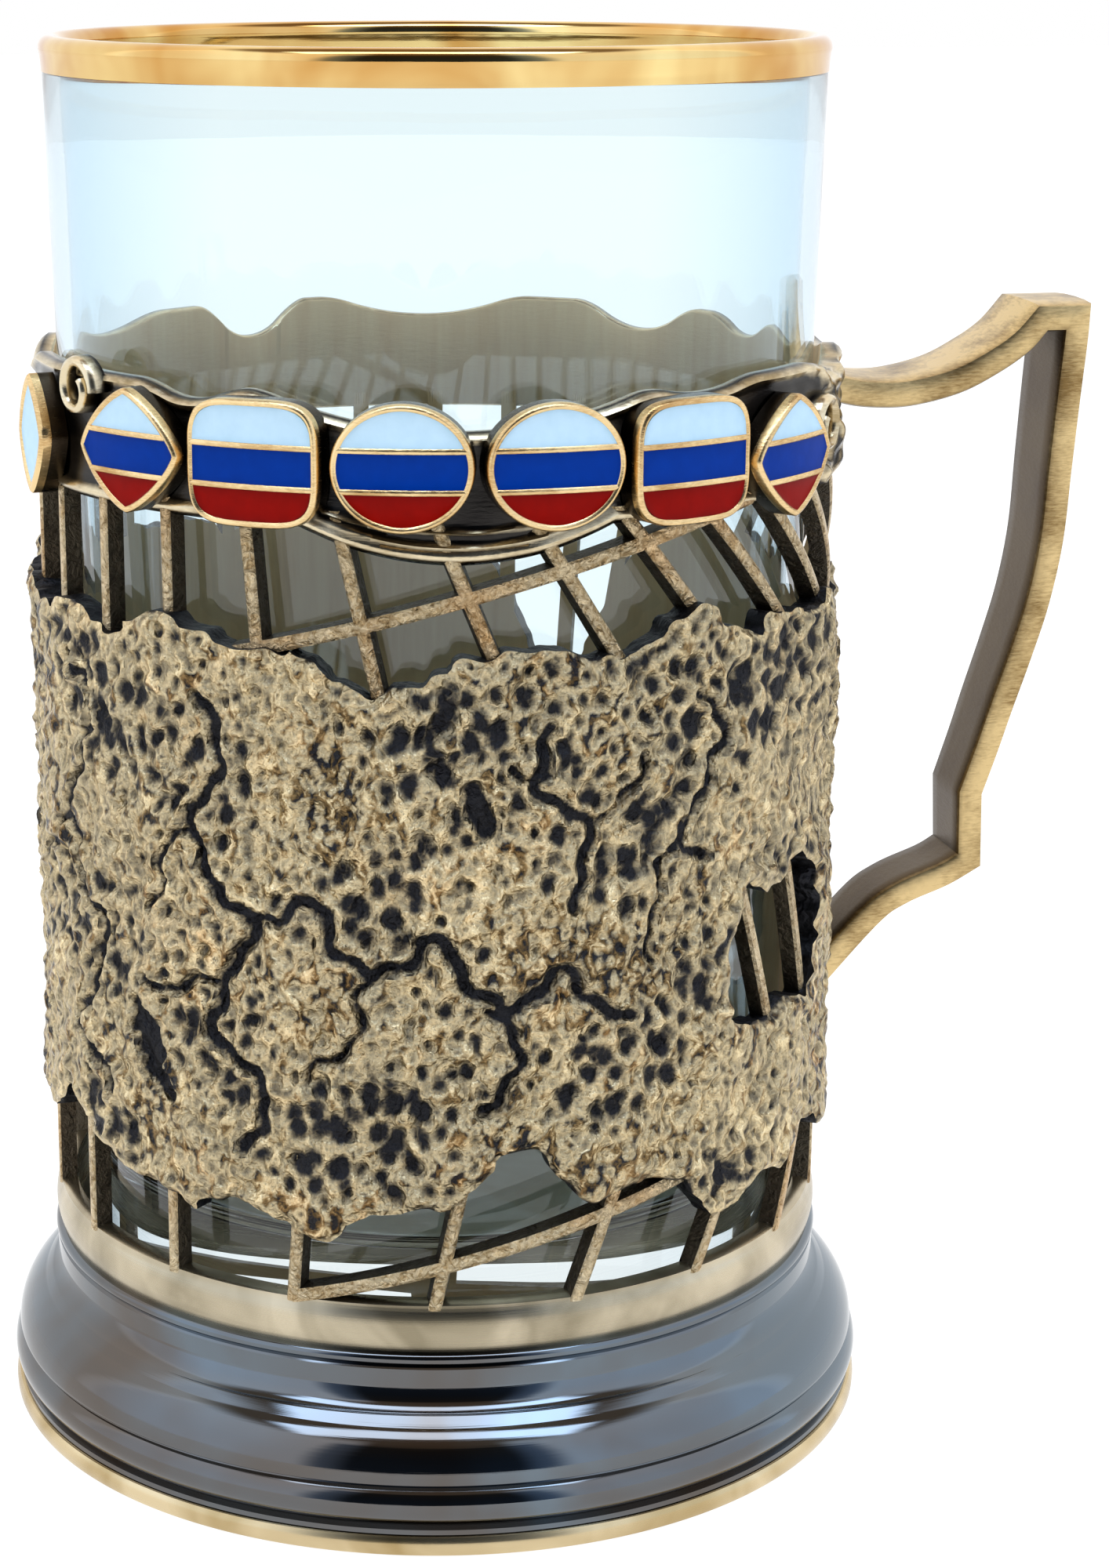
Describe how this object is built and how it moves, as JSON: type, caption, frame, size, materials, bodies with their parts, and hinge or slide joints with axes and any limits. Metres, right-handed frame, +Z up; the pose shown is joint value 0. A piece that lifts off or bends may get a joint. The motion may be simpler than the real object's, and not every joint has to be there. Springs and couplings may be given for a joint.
{
  "type": "podstakannik tea glass holder",
  "caption": "Cast openwork metal tea glass holder on a turned foot, with a strap handle, a row of enamelled plaques and a lift-out straight tea glass with a gilded lip.",
  "frame": {"origin": "on the glass axis, in the plane of the table that the base ring stands on", "axes": "+Z up along the glass axis, +X through the middle of the handle, decorated face towards -Y"},
  "size_m": [0.0976, 0.0782, 0.1221],
  "materials": {
    "clear_glass": "clear, faint blue tint",
    "gilding": "fired gold, polished",
    "base_brass": "polished, worn",
    "gunmetal_plate": "polished dark plating on brass",
    "inner_brass": "brushed",
    "antique_cast_brass": "cast, pitted, dark patina in the hollows",
    "patinated_brass": "dark patina, rubbed edges",
    "wire_brass": "polished edges, dark sides",
    "enamel_white": "glossy opaque enamel",
    "enamel_blue": "glossy opaque enamel",
    "enamel_red": "glossy opaque enamel",
    "satin_brass": "satin, antiqued"
  },
  "bodies": {
    "holder": {"base_ring": "base_brass", "foot": "gunmetal_plate", "glass_seat": "inner_brass", "sleeve": "antique_cast_brass", "top_band": "patinated_brass", "plaque_1": "wire_brass", "plaque_2": "wire_brass", "plaque_3": "wire_brass", "plaque_4": "wire_brass", "plaque_5": "wire_brass", "plaque_6": "wire_brass", "enamel_1_white": "enamel_white", "enamel_2_white": "enamel_white", "enamel_3_white": "enamel_white", "enamel_4_white": "enamel_white", "enamel_5_white": "enamel_white", "enamel_6_white": "enamel_white", "enamel_1_blue": "enamel_blue", "enamel_2_blue": "enamel_blue", "enamel_3_blue": "enamel_blue", "enamel_4_blue": "enamel_blue", "enamel_5_blue": "enamel_blue", "enamel_6_blue": "enamel_blue", "enamel_1_red": "enamel_red", "enamel_2_red": "enamel_red", "enamel_3_red": "enamel_red", "enamel_4_red": "enamel_red", "enamel_5_red": "enamel_red", "enamel_6_red": "enamel_red", "leaf_mount": "wire_brass", "leaf_enamel": "enamel_white", "scroll_left": "antique_cast_brass", "scroll_right": "antique_cast_brass", "handle": "satin_brass"},
    "glass": {"glass_tumbler": "clear_glass", "gilt_rim": "gilding"}
  },
  "joints": [
    {"name": "glass_lift", "type": "slide", "parent": "holder", "child": "glass", "axis": [0, 0, 1], "range_m": [0, 0.09]}
  ]
}
